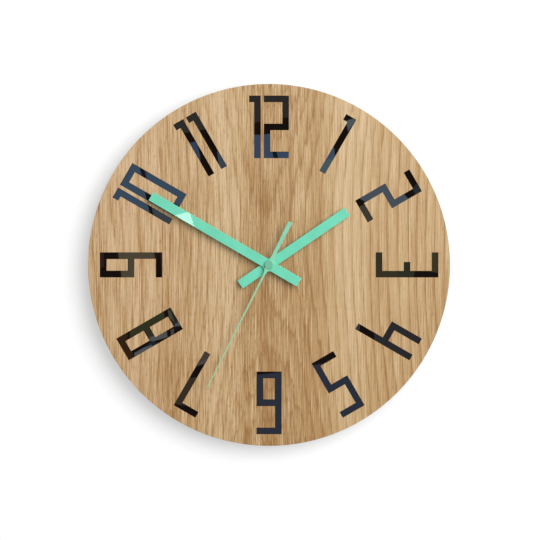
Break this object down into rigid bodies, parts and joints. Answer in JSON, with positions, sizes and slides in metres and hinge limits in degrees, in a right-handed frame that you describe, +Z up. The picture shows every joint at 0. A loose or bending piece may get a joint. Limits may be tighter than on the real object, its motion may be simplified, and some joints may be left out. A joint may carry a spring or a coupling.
{
  "type": "wooden wall clock",
  "caption": "Round oak-faced wall clock with cut-out numerals over a black disc, flat bar hands, and a battery quartz movement with a hanging loop behind the dial.",
  "frame": {"origin": "the point where the hands' axis meets the wall plane, on the flat rear face of the movement case", "axes": "+Y from the dial into the wall, so that the dial faces -Y; +Z up to the twelve; +X to the right, to the three"},
  "size_m": [0.33, 0.0358, 0.33],
  "materials": {
    "oak": "satin lacquered oak, grain upright",
    "black_acrylic": "gloss cast black acrylic",
    "mint_enamel": "gloss mint green enamel",
    "rubber": "matt black rubber",
    "brass": "turned brass",
    "steel": "turned steel",
    "nickel": "nickel plated steel",
    "case_black": "moulded black, fine spark texture",
    "gear_plastic": "moulded natural white",
    "bridge_plastic": "moulded grey green",
    "bobbin_plastic": "moulded cream",
    "circuit_board": "green solder resist on laminate",
    "resin": "black potting resin",
    "soft_iron": "punched soft iron sheet",
    "copper": "enamelled copper wire",
    "magnet": "sintered magnet",
    "cell_sleeve": "plain printed foil sleeve with no words"
  },
  "bodies": {
    "clock_body": {"oak_board": "oak", "counter_six": "oak", "counter_eight_inner": "oak", "counter_eight_outer": "oak", "counter_nine": "oak", "counter_ten": "oak", "backing_disc": "black_acrylic", "rubber_washer": "rubber", "brass_washer": "brass", "hex_nut": "brass", "threaded_bush": "brass", "front_cover": "case_black", "rear_case": "case_black", "gear_bridge": "bridge_plastic", "circuit_board": "circuit_board", "driver_chip": "resin", "quartz_crystal": "nickel", "coil_core": "soft_iron", "coil_bobbin": "bobbin_plastic", "coil_winding": "copper", "stator_plate": "soft_iron", "positive_contact": "nickel", "negative_contact": "nickel"},
    "second_works": {"second_hand": "mint_enamel", "second_hand_cap": "mint_enamel", "second_arbor": "steel", "second_wheel": "gear_plastic"},
    "fifth_works": {"fifth_wheel": "gear_plastic"},
    "rotor": {"rotor_magnet": "magnet", "rotor_pinion": "gear_plastic"},
    "third_works": {"third_wheel": "gear_plastic"},
    "centre_works": {"centre_wheel": "gear_plastic"},
    "minute_works": {"minute_hand": "mint_enamel", "minute_hand_collet": "steel", "minute_arbor": "gear_plastic"},
    "setting_works": {"minute_wheel": "gear_plastic", "set_knob": "gear_plastic"},
    "hour_works": {"hour_hand": "mint_enamel", "hour_hand_collet": "steel", "hour_wheel": "gear_plastic"},
    "battery": {"battery_jacket": "cell_sleeve", "battery_positive_cap": "nickel", "battery_negative_cap": "nickel"}
  },
  "joints": [
    {"name": "second_hand_spin", "type": "hinge", "parent": "clock_body", "child": "second_works", "pos_m": [0, 0, 0], "axis": [0, 1, 0], "continuous": true},
    {"name": "fifth_wheel_spin", "type": "hinge", "parent": "clock_body", "child": "fifth_works", "pos_m": [0.00909, 0, -0.00367], "axis": [0, 1, 0], "continuous": true},
    {"name": "rotor_spin", "type": "hinge", "parent": "clock_body", "child": "rotor", "pos_m": [0.01561, 0, -0.00063], "axis": [0, 1, 0], "continuous": true},
    {"name": "third_wheel_spin", "type": "hinge", "parent": "clock_body", "child": "third_works", "pos_m": [-0.00935, 0, 0.0054], "axis": [0, 1, 0], "continuous": true},
    {"name": "centre_wheel_spin", "type": "hinge", "parent": "clock_body", "child": "centre_works", "pos_m": [0, 0, 0], "axis": [0, 1, 0], "continuous": true},
    {"name": "minute_hand_spin", "type": "hinge", "parent": "clock_body", "child": "minute_works", "pos_m": [0, 0, 0], "axis": [0, 1, 0], "continuous": true},
    {"name": "set_knob_spin", "type": "hinge", "parent": "clock_body", "child": "setting_works", "pos_m": [0.00369, 0, 0.01015], "axis": [0, 1, 0], "continuous": true},
    {"name": "hour_hand_spin", "type": "hinge", "parent": "clock_body", "child": "hour_works", "pos_m": [0, 0, 0], "axis": [0, 1, 0], "continuous": true},
    {"name": "battery_slide", "type": "slide", "parent": "clock_body", "child": "battery", "axis": [0, 1, 0], "range_m": [0, 0.03]}
  ],
  "couplings": [
    {"joint": "fifth_wheel_spin", "follows": "second_hand_spin", "ratio": -6},
    {"joint": "rotor_spin", "follows": "second_hand_spin", "ratio": 30},
    {"joint": "third_wheel_spin", "follows": "second_hand_spin", "ratio": -0.125},
    {"joint": "centre_wheel_spin", "follows": "second_hand_spin", "ratio": 0.016667},
    {"joint": "set_knob_spin", "follows": "minute_hand_spin", "ratio": -0.33333},
    {"joint": "hour_hand_spin", "follows": "minute_hand_spin", "ratio": 0.083333}
  ]
}
